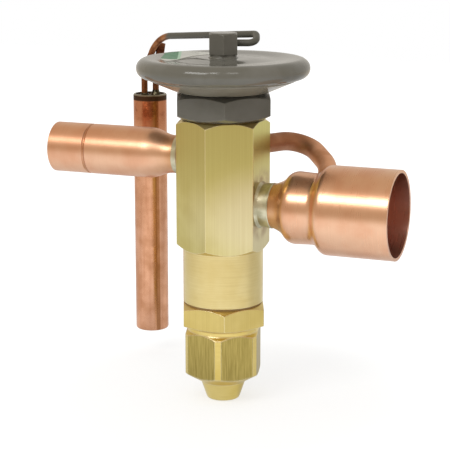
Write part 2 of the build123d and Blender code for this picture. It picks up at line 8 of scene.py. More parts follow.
import bpy
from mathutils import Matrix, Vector


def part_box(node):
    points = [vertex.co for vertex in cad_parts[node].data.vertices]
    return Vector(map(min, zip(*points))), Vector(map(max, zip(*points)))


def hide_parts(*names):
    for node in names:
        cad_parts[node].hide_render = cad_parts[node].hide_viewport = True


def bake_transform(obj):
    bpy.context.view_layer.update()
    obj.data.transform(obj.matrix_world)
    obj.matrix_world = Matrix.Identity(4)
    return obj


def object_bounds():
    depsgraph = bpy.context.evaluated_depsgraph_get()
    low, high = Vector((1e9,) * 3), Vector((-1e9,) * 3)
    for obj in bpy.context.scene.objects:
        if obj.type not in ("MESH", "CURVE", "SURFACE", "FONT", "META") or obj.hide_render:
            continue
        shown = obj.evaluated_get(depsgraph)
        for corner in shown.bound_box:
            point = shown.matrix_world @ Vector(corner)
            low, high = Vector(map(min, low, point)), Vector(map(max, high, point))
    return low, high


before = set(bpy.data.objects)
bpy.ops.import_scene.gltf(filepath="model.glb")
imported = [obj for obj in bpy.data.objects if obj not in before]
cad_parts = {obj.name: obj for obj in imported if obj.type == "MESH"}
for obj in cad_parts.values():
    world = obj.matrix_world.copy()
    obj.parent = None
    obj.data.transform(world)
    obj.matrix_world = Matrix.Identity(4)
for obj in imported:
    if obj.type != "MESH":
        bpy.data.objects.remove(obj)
cad_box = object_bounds()

MM = 0.001


def centre(piece):
    """Middle of one solid's box."""
    low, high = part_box(piece)
    return (low + high) / 2


VALVE_AXIS = (centre("valve_port").x, centre("valve_port").y, 0)
INLET_AXIS = (0, centre("inlet_fitting").y, centre("inlet_fitting").z)
OUTLET_AXIS = (0, 0, 0)
BULB_AXIS = (centre("sensing_bulb").x, centre("sensing_bulb").y, 0)
BULB_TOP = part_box("sensing_bulb")[1].z
INLET_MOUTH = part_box("inlet_fitting")[0].x
ALONG_Z = (0, 0, 1)
ALONG_X = (1, 0, 0)


# ---------------------------------------------------------------- nodes and finishes

# Settings that come back. SMOOTH goes with a value, the two levels between which it changes, and what they
# give where that isn't 0 and 1. TONES goes with inputs 0, 6 and 7 of a Mix: a share and the two tones. Plain
# values are mixed in inputs 2 and 3, and vectors in 4 and 5
SMOOTH = {"interpolation_type": "SMOOTHSTEP"}
TONES = {"data_type": "RGBA", "out": 2}

# Levels of a mottled pattern between which one tone gives way to the other
CRISP = (0.35, 0.65)
GENTLE = (0.3, 0.7)

# Cosines of how far the softened normal turns where an edge begins, and where it is full
EDGE_TURN = (0.995, 0.93)


def colour(code):
    """Linear RGBA of an sRGB hex colour."""
    channels = [int(code[at:at + 2], 16) / 255 for at in (1, 3, 5)]
    linear = [c / 12.92 if c <= 0.04045 else ((c + 0.055) / 1.055) ** 2.4 for c in channels]
    return (*linear, 1)


def add(tree, kind, *inputs, out=0, **settings):
    """Adds one shader node. Returns its output out, or all its outputs where out is None.

    Inputs come in order, or in one dict by name or number. Each is a value, a hex colour or a socket.
    """
    made = tree.nodes.new("ShaderNode" + kind)
    for setting, value in settings.items():
        setattr(made, setting, value)
    given = inputs[0] if inputs and isinstance(inputs[0], dict) else dict(enumerate(inputs))
    for key, value in given.items():
        if isinstance(value, bpy.types.NodeSocket):
            tree.links.new(value, made.inputs[key])
        else:
            made.inputs[key].default_value = colour(value) if isinstance(value, str) else value
    return made.outputs if out is None else made.outputs[out]


def scale_for(size_mm):
    """Scale of a pattern whose marks are that many millimetres across."""
    return 1 / (size_mm * MM)


def emptied(owner):
    """A new material or world, and its node tree with nothing in it."""
    owner.use_nodes = True
    owner.node_tree.nodes.clear()
    return owner, owner.node_tree


def finished(material, looks):
    """The material, closed with one shader that has these looks."""
    add(material.node_tree, "OutputMaterial", add(material.node_tree, "BsdfPrincipled", looks), out=None)
    return material


def place(tree, axis=(0, 0, 0)):
    """Place on the piece, measured from a point on its own axis."""
    return add(tree, "VectorMath", add(tree, "TexCoord", out="Object"), axis, operation="SUBTRACT")


def lathe_marks(tree, where, along, pitch_mm):
    """Rings round the axis that change a little on their way round.

    A finishing cut leaves them about 0.1 mm apart. They are drawn a few times as coarse, to show.
    """
    radial = add(tree, "VectorMath", where, tuple(1 - a for a in along), operation="MULTIPLY")
    radius = add(tree, "VectorMath", radial, operation="LENGTH", out=1)
    travel = add(tree, "VectorMath", where, along, operation="DOT_PRODUCT", out=1)
    reach = add(tree, "Math", travel, radius, operation="ADD")
    steps = add(tree, "Math", reach, pitch_mm * MM, operation="DIVIDE")
    way_round = add(tree, "VectorMath", radial, operation="NORMALIZE")
    rings = add(tree, "VectorMath", steps, along, way_round, operation="MULTIPLY_ADD")
    return add(tree, "TexNoise", {"Vector": rings, "Scale": 1.0, "Detail": 4.0, "Roughness": 0.65})


def draw_marks(tree, where, pitch_mm, length_mm):
    """Upright streaks, as the die leaves them on drawn bar and tube, wide enough to show."""
    stretch = (scale_for(pitch_mm), scale_for(pitch_mm), scale_for(length_mm))
    streaks = add(tree, "VectorMath", where, stretch, operation="MULTIPLY")
    return add(tree, "TexNoise", {"Vector": streaks, "Scale": 1.0, "Detail": 3.0, "Roughness": 0.6})


def rounded_edges(tree, radius_mm):
    """Normal that turns softly over sharp edges, and how near an edge the surface is."""
    soft = add(tree, "Bevel", {"Radius": radius_mm * MM}, samples=6)
    true = add(tree, "NewGeometry", out="True Normal")
    facing = add(tree, "VectorMath", soft, true, operation="DOT_PRODUCT", out=1)
    return soft, add(tree, "MapRange", facing, *EDGE_TURN, **SMOOTH)


# ---------------------------------------------------------------- brass

# Where the outlet enters the body, from the valve axis, and the flat that it enters
OUTLET_JOINT = (14.3 * MM, 0, 0)
# BELOW_JOINT is the middle of a painted reflection on the flats, below that joint
BELOW_JOINT = (14.3 * MM, 0, -4 * MM)
OUTLET_FLAT = (14.1 * MM, 14.2 * MM)
FLATS = ("#DFD38E", "#D2C47C")
TURNED = ("#EEDCA0", "#E5D08F")

# How far below a flat the metal still counts as turned away, and as flat, in mm
TURNED_DEPTH, FLAT_DEPTH = 0.06, 0.02


def on_flats(tree, where, hexagon):
    """1 on the flats of a hexagon bar about the valve axis, 0 where it was turned away.

    hexagon is the distance across its flats in mm and the way one flat faces, in degrees from +X.
    """
    across, turn = hexagon
    reach = 0.0
    for way in (turn, turn + 60, turn + 120):
        facing = (math.cos(math.radians(way)), math.sin(math.radians(way)), 0)
        outwards = add(tree, "VectorMath", where, facing, operation="DOT_PRODUCT", out=1)
        either_side = add(tree, "Math", outwards, operation="ABSOLUTE")
        reach = add(tree, "Math", either_side, reach, operation="MAXIMUM")
    levels = [(across / 2 - depth) * MM for depth in (TURNED_DEPTH, FLAT_DEPTH)]
    return add(tree, "MapRange", reach, *levels, **SMOOTH)


def cut_thread(tree, where, normal, radius_mm, pitch_mm):
    """Adds a thread's ridges to the normal, on faces at one radius from the valve axis."""
    x, y, z = add(tree, "SeparateXYZ", where, out=None)
    flat = add(tree, "VectorMath", where, (1, 1, 0), operation="MULTIPLY")
    radius = add(tree, "VectorMath", flat, operation="LENGTH", out=1)
    off = add(tree, "Math", radius, radius_mm * MM, operation="SUBTRACT")
    off = add(tree, "Math", off, operation="ABSOLUTE")
    angle = add(tree, "Math", y, x, operation="ARCTAN2")
    turns = add(tree, "Math", angle, math.tau, operation="DIVIDE")
    climb = add(tree, "Math", z, pitch_mm * MM, operation="DIVIDE")
    climb = add(tree, "Math", climb, turns, operation="ADD")
    ridge = add(tree, "Math", climb, 0.5, operation="PINGPONG")
    on_thread = add(tree, "MapRange", off, 0.08 * MM, 0.04 * MM, **SMOOTH)
    ridge = add(tree, "Math", ridge, on_thread, operation="MULTIPLY")
    return add(tree, "Bump", {"Height": ridge, "Distance": 0.9 * pitch_mm * MM, "Normal": normal})


def torch_marks_and_painted_light(tree, where, tone):
    """Brazing's scorch on the body's flats, with painted shade that makes them deeper above, painted light on
    the outlet's flat above its joint, and a pale painted reflection of the floor round and below that joint.

    The flame scorched brown spots beside that joint, on the flat that it enters.
    """
    across, _, height = add(tree, "SeparateXYZ", where, out=None)
    # Painted shade: the flats deeper towards the top
    painted_shade_above = add(tree, "MapRange", height, -3 * MM, 20 * MM, **SMOOTH)
    tone = add(tree, "Mix", {0: painted_shade_above, 6: tone, 7: "#CBC07A"}, **TONES)
    # Painted light: the outlet's flat paler above the joint
    outlet_flat = add(tree, "MapRange", across, *OUTLET_FLAT, **SMOOTH)
    upper = add(tree, "MapRange", height, 4 * MM, 12 * MM, **SMOOTH)
    painted_light_outlet_flat = add(tree, "Math", outlet_flat, upper, operation="MULTIPLY")
    tone = add(tree, "Mix", {0: painted_light_outlet_flat, 6: tone, 7: "#E0E08F"}, **TONES)
    # Painted reflection of the bright floor: paler round and below the outlet's joint
    off = add(tree, "VectorMath", where, BELOW_JOINT, operation="SUBTRACT")
    off = add(tree, "VectorMath", off, (1, 1, 1.4), operation="MULTIPLY")
    off = add(tree, "VectorMath", off, operation="LENGTH", out=1)
    haze = add(tree, "MapRange", off, 31 * MM, 11 * MM, 0.0, 0.8, **SMOOTH)
    tone = add(tree, "Mix", {0: haze, 6: tone, 7: "#EEE2B8"}, **TONES)
    off = add(tree, "VectorMath", where, OUTLET_JOINT, operation="SUBTRACT")
    off = add(tree, "VectorMath", off, operation="LENGTH", out=1)
    near = add(tree, "MapRange", off, 14 * MM, 9 * MM, 0.0, 0.6, **SMOOTH)
    spots = add(tree, "TexNoise", {"Vector": where, "Scale": scale_for(5), "Detail": 3.0})
    spots = add(tree, "MapRange", spots, 0.3, 0.6, **SMOOTH)
    scorch = add(tree, "Math", near, spots, operation="MULTIPLY")
    scorch = add(tree, "Math", scorch, outlet_flat, operation="MULTIPLY")
    return add(tree, "Mix", {0: scorch, 6: tone, 7: "#96724A"}, **TONES)


def brass(name, hexagon=None, flats=FLATS, turned=TURNED, edge_mm=0.35, torch_and_painted_light=False, scuffed=False,
          thread_mm=None):
    """Free-cutting brass. Lathe rings pull each highlight out along the axis of the turned faces.

    The flats of the drawn hexagon bar keep straight streaks from the die, and a greener, deeper tone. The
    torch flag adds brazing's scorch to the body's flats, with painted shade and painted light on them, and
    scuffed a spanner's marks. thread_mm is the radius and pitch of a cut thread below the hexagon.
    """
    material, tree = emptied(bpy.data.materials.new(name))
    where = place(tree, VALVE_AXIS)
    marks = lathe_marks(tree, where, ALONG_Z, pitch_mm=0.35)
    blotch = add(tree, "TexNoise", {"Vector": where, "Scale": scale_for(14), "Detail": 3.0})
    blotch = add(tree, "MapRange", blotch, *CRISP, **SMOOTH)
    tone = add(tree, "Mix", {0: blotch, 6: turned[0], 7: turned[1]}, **TONES)
    grain = add(tree, "CombineXYZ", *ALONG_Z)
    if hexagon:
        flat = on_flats(tree, where, hexagon)
        drawn = draw_marks(tree, where, pitch_mm=0.45, length_mm=60)
        marks = add(tree, "Mix", {0: flat, 2: marks, 3: drawn})
        if scuffed:
            scratches = draw_marks(tree, where, pitch_mm=0.3, length_mm=9)
            blotch = add(tree, "MapRange", scratches, *GENTLE, **SMOOTH)
        flat_tone = add(tree, "Mix", {0: blotch, 6: flats[0], 7: flats[1]}, **TONES)
        if torch_and_painted_light:
            flat_tone = torch_marks_and_painted_light(tree, where, flat_tone)
        tone = add(tree, "Mix", {0: flat, 6: tone, 7: flat_tone}, **TONES)
        true = add(tree, "NewGeometry", out="True Normal")
        sideways = add(tree, "VectorMath", true, ALONG_Z, operation="CROSS_PRODUCT")
        grain = add(tree, "Mix", {0: flat, 4: grain, 5: sideways}, data_type="VECTOR", out=1)
    soft, edge = rounded_edges(tree, edge_mm)
    hollows = add(tree, "MapRange", marks, 0.35, 0.7, 0.0, 0.12, **SMOOTH)
    tone = add(tree, "Mix", {0: hollows, 6: tone, 7: "#A98F45"}, **TONES)
    normal = add(tree, "Bump", {"Height": marks, "Distance": 0.0015 * MM, "Normal": soft})
    if thread_mm:
        normal = cut_thread(tree, where, normal, *thread_mm)
    # Painted highlight: a pale tone near each rounded edge
    return finished(material, {
        "Base Color": add(tree, "Mix", {0: edge, 6: tone, 7: "#F7E9BC"}, **TONES),
        "Roughness": add(tree, "MapRange", marks, *GENTLE, 0.28, 0.31, **SMOOTH),
        "Normal": normal, "Tangent": grain, "Metallic": 1.0, "Anisotropic": 0.5})


# ---------------------------------------------------------------- copper

def spun_copper(name, axis, stain_start, stain_end, satin, groove=None):
    """Deoxidised copper tube spun to shape on a mandrel: satin, with fine rings round its own axis.

    Brazing leaves a golden heat tint that fades from the body outwards. groove is the place along the tube of
    the rolled stop, which is drawn browner. The inside is pinker.
    """
    material, tree = emptied(bpy.data.materials.new(name))
    where = place(tree, axis)
    travel = add(tree, "SeparateXYZ", where)
    marks = lathe_marks(tree, where, ALONG_X, pitch_mm=0.45)
    clouds = add(tree, "TexNoise", {"Vector": where, "Scale": scale_for(11), "Detail": 4.0})
    clouds = add(tree, "MapRange", clouds, *GENTLE, **SMOOTH)
    tone = add(tree, "Mix", {0: clouds, 6: "#F3C5A4", 7: "#EAB28F"}, **TONES)
    hollows = add(tree, "MapRange", marks, 0.4, 0.75, 0.0, 0.06, **SMOOTH)
    tone = add(tree, "Mix", {0: hollows, 6: tone, 7: "#B9774F"}, **TONES)
    near_body = add(tree, "MapRange", travel, stain_end, stain_start, **SMOOTH)
    patches = add(tree, "TexNoise", {"Vector": where, "Scale": scale_for(5), "Detail": 4.0})
    patches = add(tree, "MapRange", patches, 0.2, 0.7, 0.3, 0.75, **SMOOTH)
    stain = add(tree, "Math", near_body, patches, operation="MULTIPLY")
    tone = add(tree, "Mix", {0: stain, 6: tone, 7: "#CB9560"}, **TONES)
    outwards = add(tree, "VectorMath", where, (0, 1, 1), operation="MULTIPLY")
    outwards = add(tree, "VectorMath", outwards, operation="NORMALIZE")
    true = add(tree, "NewGeometry", out="True Normal")
    inside = add(tree, "VectorMath", outwards, true, operation="DOT_PRODUCT", out=1)
    inside = add(tree, "MapRange", inside, -0.1, -0.4, **SMOOTH)
    tone = add(tree, "Mix", {0: inside, 6: tone, 7: "#EFC4B2"}, **TONES)
    if groove:
        off = add(tree, "Math", travel, groove, operation="SUBTRACT")
        off = add(tree, "Math", off, operation="ABSOLUTE")
        in_groove = add(tree, "MapRange", off, 0.65 * MM, 0.15 * MM, 0.0, 0.5, **SMOOTH)
        tone = add(tree, "Mix", {0: in_groove, 6: tone, 7: "#A5683F"}, **TONES)
    soft, edge = rounded_edges(tree, radius_mm=0.2)
    dents = add(tree, "TexNoise", {"Vector": where, "Scale": scale_for(9), "Detail": 1.0})
    # Painted highlight: a pale tone near each rounded edge
    return finished(material, {
        "Base Color": add(tree, "Mix", {0: edge, 6: tone, 7: "#F9D3BB"}, **TONES),
        "Roughness": add(tree, "MapRange", marks, *GENTLE, satin - 0.02, satin + 0.02, **SMOOTH),
        "Normal": add(tree, "Bump", {"Height": dents, "Distance": 0.01 * MM, "Normal": soft}),
        "Tangent": add(tree, "CombineXYZ", *ALONG_X), "Metallic": 1.0, "Anisotropic": 0.3})


def drawn_copper(name, light="#F3C19F", deep="#DCA681", size_mm=5.0, torch_and_painted_light=False):
    """Soft copper tube as drawn and bent by hand: smooth and satin, with cloudy brown patches.

    The torch flag darkens the end next to the body: a brazing stain, with painted shade in it.
    """
    material, tree = emptied(bpy.data.materials.new(name))
    where = place(tree)
    clouds = add(tree, "TexNoise", {"Vector": where, "Scale": scale_for(size_mm), "Detail": 5.0})
    patches = add(tree, "MapRange", clouds, 0.32, 0.68, **SMOOTH)
    tone = add(tree, "Mix", {0: patches, 6: light, 7: deep}, **TONES)
    if torch_and_painted_light:
        # Brazing stain with painted shade: the end next to the body darker, ragged at its edge
        across = add(tree, "SeparateXYZ", where)
        ragged = add(tree, "Math", clouds, 9 * MM, operation="MULTIPLY")
        ragged = add(tree, "Math", across, ragged, operation="ADD")
        stain = add(tree, "MapRange", ragged, -31 * MM, -39 * MM, 0.0, 0.7, **SMOOTH)
        tone = add(tree, "Mix", {0: stain, 6: tone, 7: "#A06E52"}, **TONES)
    dents = add(tree, "TexNoise", {"Vector": where, "Scale": scale_for(3), "Detail": 3.0})
    return finished(material, {
        "Base Color": tone, "Metallic": 1.0,
        "Roughness": add(tree, "MapRange", clouds, *GENTLE, 0.54, 0.62, **SMOOTH),
        "Normal": add(tree, "Bump", {"Height": dents, "Distance": 0.01 * MM})})


# The bulb's painted reflection of the brass body, a brown stripe: the way it faces, from the front towards +X,
# and the cosines of how far round from its middle it begins, 9 degrees, and is full, 5 degrees
REFLECTION_STRIPE_WAY = math.radians(47)
REFLECTION_STRIPE_EDGES = (0.9877, 0.9962)


def bulb_copper():
    """Copper bulb closed at its top by brazing: the flame leaves dark scale there and red stains below it.

    One brown stripe, a painted reflection of the brass body, runs down the side turned to the front right.
    """
    material, tree = emptied(bpy.data.materials.new("heat_stained_copper"))
    where = place(tree, BULB_AXIS)
    height = add(tree, "SeparateXYZ", where, out=2)
    wander = add(tree, "TexNoise", {"Vector": where, "Scale": scale_for(7), "Detail": 3.0})
    wander = add(tree, "Math", wander, 0.5, operation="SUBTRACT")
    wander = add(tree, "Math", wander, 9 * MM, operation="MULTIPLY")
    level = add(tree, "Math", height, wander, operation="ADD")
    streaks = draw_marks(tree, where, pitch_mm=1.6, length_mm=40)
    clouds = add(tree, "TexNoise", {"Vector": where, "Scale": scale_for(6), "Detail": 5.0})
    patches = add(tree, "MapRange", clouds, *GENTLE, **SMOOTH)
    tone = add(tree, "Mix", {0: patches, 6: "#EEB491", 7: "#D99E78"}, **TONES)
    streaks = add(tree, "MapRange", streaks, 0.45, 0.75, 0.0, 0.3, **SMOOTH)
    tone = add(tree, "Mix", {0: streaks, 6: tone, 7: "#B5744E"}, **TONES)
    heated = add(tree, "MapRange", level, BULB_TOP - 17 * MM, BULB_TOP - 6 * MM, 0.0, 0.75, **SMOOTH)
    tone = add(tree, "Mix", {0: heated, 6: tone, 7: "#BC7550"}, **TONES)
    # Painted reflection of the brass body: a brown stripe down the side turned to the front right
    outwards = add(tree, "VectorMath", where, (1, 1, 0), operation="MULTIPLY")
    outwards = add(tree, "VectorMath", outwards, operation="NORMALIZE")
    reflection_stripe_way = (math.sin(REFLECTION_STRIPE_WAY), -math.cos(REFLECTION_STRIPE_WAY), 0)
    reflection_stripe = add(tree, "VectorMath", outwards, reflection_stripe_way, operation="DOT_PRODUCT", out=1)
    reflection_stripe = add(tree, "MapRange", reflection_stripe, *REFLECTION_STRIPE_EDGES, 0.0, 0.7, **SMOOTH)
    tone = add(tree, "Mix", {0: reflection_stripe, 6: tone, 7: "#A0652F"}, **TONES)
    mottle = add(tree, "TexNoise", {"Vector": where, "Scale": scale_for(3.5), "Detail": 4.0})
    mottle = add(tree, "MapRange", mottle, 0.5, 0.66, 0.0, 0.6, **SMOOTH)
    stained = add(tree, "MapRange", height, BULB_TOP - 11 * MM, BULB_TOP - 6 * MM, **SMOOTH)
    mottle = add(tree, "Math", mottle, stained, operation="MULTIPLY")
    tone = add(tree, "Mix", {0: mottle, 6: tone, 7: "#8A5034"}, **TONES)
    above_edge = add(tree, "MapRange", height, BULB_TOP - 2.6 * MM, BULB_TOP - 2.0 * MM, **SMOOTH)
    below_rim = add(tree, "MapRange", height, BULB_TOP - 0.35 * MM, BULB_TOP - 0.55 * MM, **SMOOTH)
    scale = add(tree, "Math", above_edge, below_rim, operation="MULTIPLY")
    scale_share = add(tree, "Math", scale, 0.92, operation="MULTIPLY")
    tone = add(tree, "Mix", {0: scale_share, 6: tone, 7: "#3A2E22"}, **TONES)
    rim = add(tree, "MapRange", height, BULB_TOP - 0.6 * MM, BULB_TOP - 0.35 * MM, **SMOOTH)
    dullness = add(tree, "Math", clouds, scale, operation="ADD")
    return finished(material, {
        "Base Color": add(tree, "Mix", {0: rim, 6: tone, 7: "#8A8474"}, **TONES), "Metallic": 1.0,
        "Roughness": add(tree, "MapRange", dullness, 0.3, 1.2, 0.22, 0.6, **SMOOTH),
        "Normal": add(tree, "Bump", {"Height": clouds, "Distance": 0.01 * MM})})


def capillary_finish():
    """Capillary tube: the enamel sprayed on the power element runs along it and fades to bare copper."""
    material, tree = emptied(bpy.data.materials.new("capillary_copper"))
    where = place(tree, VALVE_AXIS)
    across = add(tree, "SeparateXYZ", where)
    clouds = add(tree, "TexNoise", {"Vector": where, "Scale": scale_for(4), "Detail": 4.0})
    ragged = add(tree, "Math", clouds, 0.5, operation="SUBTRACT")
    ragged = add(tree, "Math", ragged, 7 * MM, operation="MULTIPLY")
    ragged = add(tree, "Math", across, ragged, operation="ADD")
    painted = add(tree, "MapRange", ragged, -39 * MM, -34 * MM, **SMOOTH)
    patches = add(tree, "MapRange", clouds, *CRISP, **SMOOTH)
    bare = add(tree, "Mix", {0: patches, 6: "#B98057", 7: "#7E4F33"}, **TONES)
    dents = add(tree, "TexNoise", {"Vector": where, "Scale": scale_for(0.9), "Detail": 3.0})
    return finished(material, {
        "Base Color": add(tree, "Mix", {0: painted, 6: bare, 7: "#54534A"}, **TONES),
        "Metallic": add(tree, "Math", 1.0, painted, operation="SUBTRACT"),
        "Roughness": add(tree, "MapRange", clouds, *GENTLE, 0.3, 0.42, **SMOOTH),
        "Normal": add(tree, "Bump", {"Height": dents, "Distance": 0.01 * MM})})


# ---------------------------------------------------------------- braze, steel, enamel, film, packing

def braze(name, light, deep, lump_mm=4.0):
    """Brazing alloy that froze in a collar: slow ripples, with flux stains in the hollows."""
    material, tree = emptied(bpy.data.materials.new(name))
    lumps = add(tree, "TexNoise", {"Vector": place(tree), "Scale": scale_for(lump_mm), "Detail": 3.0})
    raised = add(tree, "MapRange", lumps, *CRISP, **SMOOTH)
    return finished(material, {
        "Base Color": add(tree, "Mix", {0: raised, 6: deep, 7: light}, **TONES), "Metallic": 1.0,
        "Roughness": add(tree, "MapRange", lumps, *GENTLE, 0.4, 0.28, **SMOOTH),
        "Normal": add(tree, "Bump", {"Height": lumps, "Distance": 0.02 * MM})})


def steel(name, light="#C9C9C6", deep="#A3A39F"):
    """Steel turned or ground bright: grey, with rings round the valve axis."""
    material, tree = emptied(bpy.data.materials.new(name))
    marks = lathe_marks(tree, place(tree, VALVE_AXIS), ALONG_Z, pitch_mm=0.4)
    rings = add(tree, "MapRange", marks, *CRISP, **SMOOTH)
    return finished(material, {
        "Base Color": add(tree, "Mix", {0: rings, 6: light, 7: deep}, **TONES), "Metallic": 1.0,
        "Roughness": add(tree, "MapRange", marks, *GENTLE, 0.22, 0.34, **SMOOTH),
        "Normal": add(tree, "Bump", {"Height": marks, "Distance": 0.006 * MM})})


def enamel(name, light="#726F66", deep="#68655B", gloss=0.15):
    """Grey-green stoved enamel sprayed on steel: glossy, with a soft orange peel.

    The peel is drawn 3 mm across, coarser than it is, to show.
    """
    material, tree = emptied(bpy.data.materials.new(name))
    where = place(tree, VALVE_AXIS)
    soft, edge = rounded_edges(tree, radius_mm=0.5)
    clouds = add(tree, "TexNoise", {"Vector": where, "Scale": scale_for(12), "Detail": 3.0})
    clouds = add(tree, "MapRange", clouds, *CRISP, **SMOOTH)
    tone = add(tree, "Mix", {0: clouds, 6: light, 7: deep}, **TONES)
    # Paler along the rounded edges
    paler_edge_share = add(tree, "Math", edge, 0.3, operation="MULTIPLY")
    haze = add(tree, "TexNoise", {"Vector": where, "Scale": scale_for(4), "Detail": 3.0})
    peel = add(tree, "TexNoise", {"Vector": where, "Scale": scale_for(3), "Detail": 1.0})
    relief = {"Height": peel, "Distance": 0.02 * MM, "Strength": 0.5, "Normal": soft}
    return finished(material, {
        "Base Color": add(tree, "Mix", {0: paler_edge_share, 6: tone, 7: "#8D897C"}, **TONES), "IOR": 1.5,
        "Roughness": add(tree, "MapRange", haze, *GENTLE, gloss, gloss + 0.05, **SMOOTH),
        "Normal": add(tree, "Bump", relief)})


# The ways out over the sticker's face and towards its back end
FILM_OUT = (-0.93, -0.37, 0)
FILM_BACK = (-0.37, 0.93, 0)


def printed_film():
    """Polyester sticker: pale satin film with plain green fields and no lettering."""
    material, tree = emptied(bpy.data.materials.new("printed_film"))
    where = place(tree, VALVE_AXIS)
    across = add(tree, "VectorMath", where, FILM_OUT, operation="DOT_PRODUCT", out=1)
    back = add(tree, "VectorMath", where, FILM_BACK, operation="DOT_PRODUCT", out=1)
    outer = add(tree, "MapRange", across, 14.6 * MM, 15.0 * MM, **SMOOTH)
    rear = add(tree, "MapRange", back, -1.2 * MM, -0.8 * MM, **SMOOTH)
    field = add(tree, "Math", outer, rear, operation="MULTIPLY")
    outermost = add(tree, "MapRange", across, 15.6 * MM, 16.0 * MM, **SMOOTH)
    dark_field = add(tree, "Math", field, outermost, operation="MULTIPLY")
    fade = add(tree, "TexNoise", {"Vector": where, "Scale": scale_for(5), "Detail": 3.0})
    fade = add(tree, "MapRange", fade, *GENTLE, 0.0, 0.25, **SMOOTH)
    tone = add(tree, "Mix", {0: fade, 6: "#D5D3C8", 7: "#B4B2A8"}, **TONES)
    tone = add(tree, "Mix", {0: field, 6: tone, 7: "#A9CBAD"}, **TONES)
    satin = add(tree, "TexNoise", {"Vector": where, "Scale": scale_for(1.5), "Detail": 3.0})
    return finished(material, {
        "Base Color": add(tree, "Mix", {0: dark_field, 6: tone, 7: "#3F8059"}, **TONES),
        "Roughness": add(tree, "MapRange", satin, *GENTLE, 0.32, 0.42, **SMOOTH)})


def packing(name, tone, grain_tone, satin):
    """Pressed graphite or fibre: dark and soft, with its grain drawn half a millimetre coarse, to show."""
    material, tree = emptied(bpy.data.materials.new(name))
    grain = add(tree, "TexNoise", {"Vector": place(tree), "Scale": scale_for(0.5), "Detail": 4.0})
    return finished(material, {
        "Base Color": add(tree, "Mix", {0: grain, 6: tone, 7: grain_tone}, **TONES),
        "Roughness": add(tree, "MapRange", grain, *GENTLE, satin, satin + 0.15, **SMOOTH),
        "Normal": add(tree, "Bump", {"Height": grain, "Distance": 0.04 * MM})})


# ---------------------------------------------------------------- finishes on the solids

# Each hexagon's distance across flats in mm, and the way one flat faces, in degrees from +X
BODY_HEXAGON = (28.575, 0)
BOTTOM_HEXAGON = (28.15, 23.2)
SEAL_CAP_HEXAGON = (25.4, 14.1)

# Radius and pitch of the thread on the bottom cap's stud, in mm
STUD_THREAD = (9.5, 1.27)

# From the inlet fitting's mouth to the middle of its rolled stop
GROOVE_DEPTH = 14.0 * MM

silver = braze("silver_braze", "#DAD4B8", "#B9B497")
stained = bulb_copper()
# Painted shade: the nut's and boss's enamel is a darker copy of the cover's
shaded_nut_grey = enamel("nut_enamel_painted_shade", "#65625A", "#5C5950")
bright_steel = steel("stainless_steel")
turned_brass = brass("turned_brass")
soft_copper = drawn_copper("soft_copper", "#E0A07C", "#C9835C", size_mm=3.0)

finishes = {
    "valve_body": brass("bar_brass", BODY_HEXAGON, torch_and_painted_light=True),
    "bottom_cap": brass("bottom_cap_brass", BOTTOM_HEXAGON, flats=("#DDC77E", "#D3BC70"),
                        turned=("#ECD693", "#DFC77E"), thread_mm=STUD_THREAD),
    # The seal cap's flats are darker: spanner scuffs, with painted shade in their deeper tone
    "seal_cap": brass("seal_cap_brass", SEAL_CAP_HEXAGON, flats=("#C7B369", "#A08D4C"),
                      turned=("#F3DC8C", "#E8CE74"), edge_mm=0.9, scuffed=True),
    "packing_nut": turned_brass,
    "spring_guide": turned_brass,
    "pin_carrier": turned_brass,
    "outlet_fitting": spun_copper("spun_copper", OUTLET_AXIS,
                                  stain_start=-47 * MM, stain_end=-34 * MM, satin=0.29),
    "inlet_fitting": spun_copper("inlet_copper", INLET_AXIS,
                                 stain_start=-78 * MM, stain_end=-88 * MM, satin=0.37,
                                 groove=INLET_MOUTH + GROOVE_DEPTH),
    "equalizer_tube": drawn_copper("bent_copper", torch_and_painted_light=True),
    "sensing_bulb": stained,
    "bulb_plug": stained,
    "charging_stub": drawn_copper("stub_copper", "#9A6543", "#5A3222", size_mm=3.0),
    "bulb_brazes": braze("dark_braze", "#5F5A48", "#2E2A22", lump_mm=1.2),
    "inlet_braze": silver,
    "outlet_braze": silver,
    "equalizer_body_braze": silver,
    "equalizer_end_braze": silver,
    "element_nut": shaded_nut_grey,
    # Painted light: the underside's enamel is a lighter copy of the cover's, for light thrown up from the
    # floor
    "lower_case": enamel("underside_enamel_painted_light", "#918B7C", "#868071"),
    "upper_case": enamel("cover_enamel", gloss=0.08),
    "capillary_boss": shaded_nut_grey,
    "capillary_tube": capillary_finish(),
    "element_label": printed_film(),
    "element_gasket": soft_copper,
    "cap_washer": soft_copper,
    "bottom_gasket": packing("fibre_gasket", "#8A6B3A", "#A5854E", satin=0.5),
    "rod_packing": packing("graphite_packing", "#0E0E10", "#2A2A2C", satin=0.45),
    "stem_packing": packing("stem_graphite", "#0E0E10", "#2A2A2C", satin=0.45),
    "superheat_spring": steel("spring_steel", "#8C8C8C", "#6A6A6B"),
    "adjusting_stem": steel("stem_steel", "#B9B8B3", "#8F8E88"),
}
for piece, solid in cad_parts.items():
    solid.data.materials.clear()
    solid.data.materials.append(finishes.get(piece, bright_steel))
    for face in solid.data.polygons:
        face.use_smooth = True


# ---------------------------------------------------------------- superheat spring

# The coil inside the body, in mm and turns. GRIND is how far its wire's line runs on past each ground face,
# and CUT_LIMIT how far from its middle the wire can be cut flat, as a share of its radius
SPRING_FOOT, SPRING_TOP = -18.5, -2.5
GRIND = 0.5
CUT_LIMIT = 0.99
SPRING_START = SPRING_FOOT - GRIND
SPRING_RADIUS = 6.35
SPRING_PITCH = 3.6
WIRE_RADIUS = 1.0
SPRING_SPLIT = 3.4
SPRING_END = (SPRING_TOP - SPRING_START + GRIND) / SPRING_PITCH
RINGS_A_TURN = 48
CORNERS_A_RING = 16


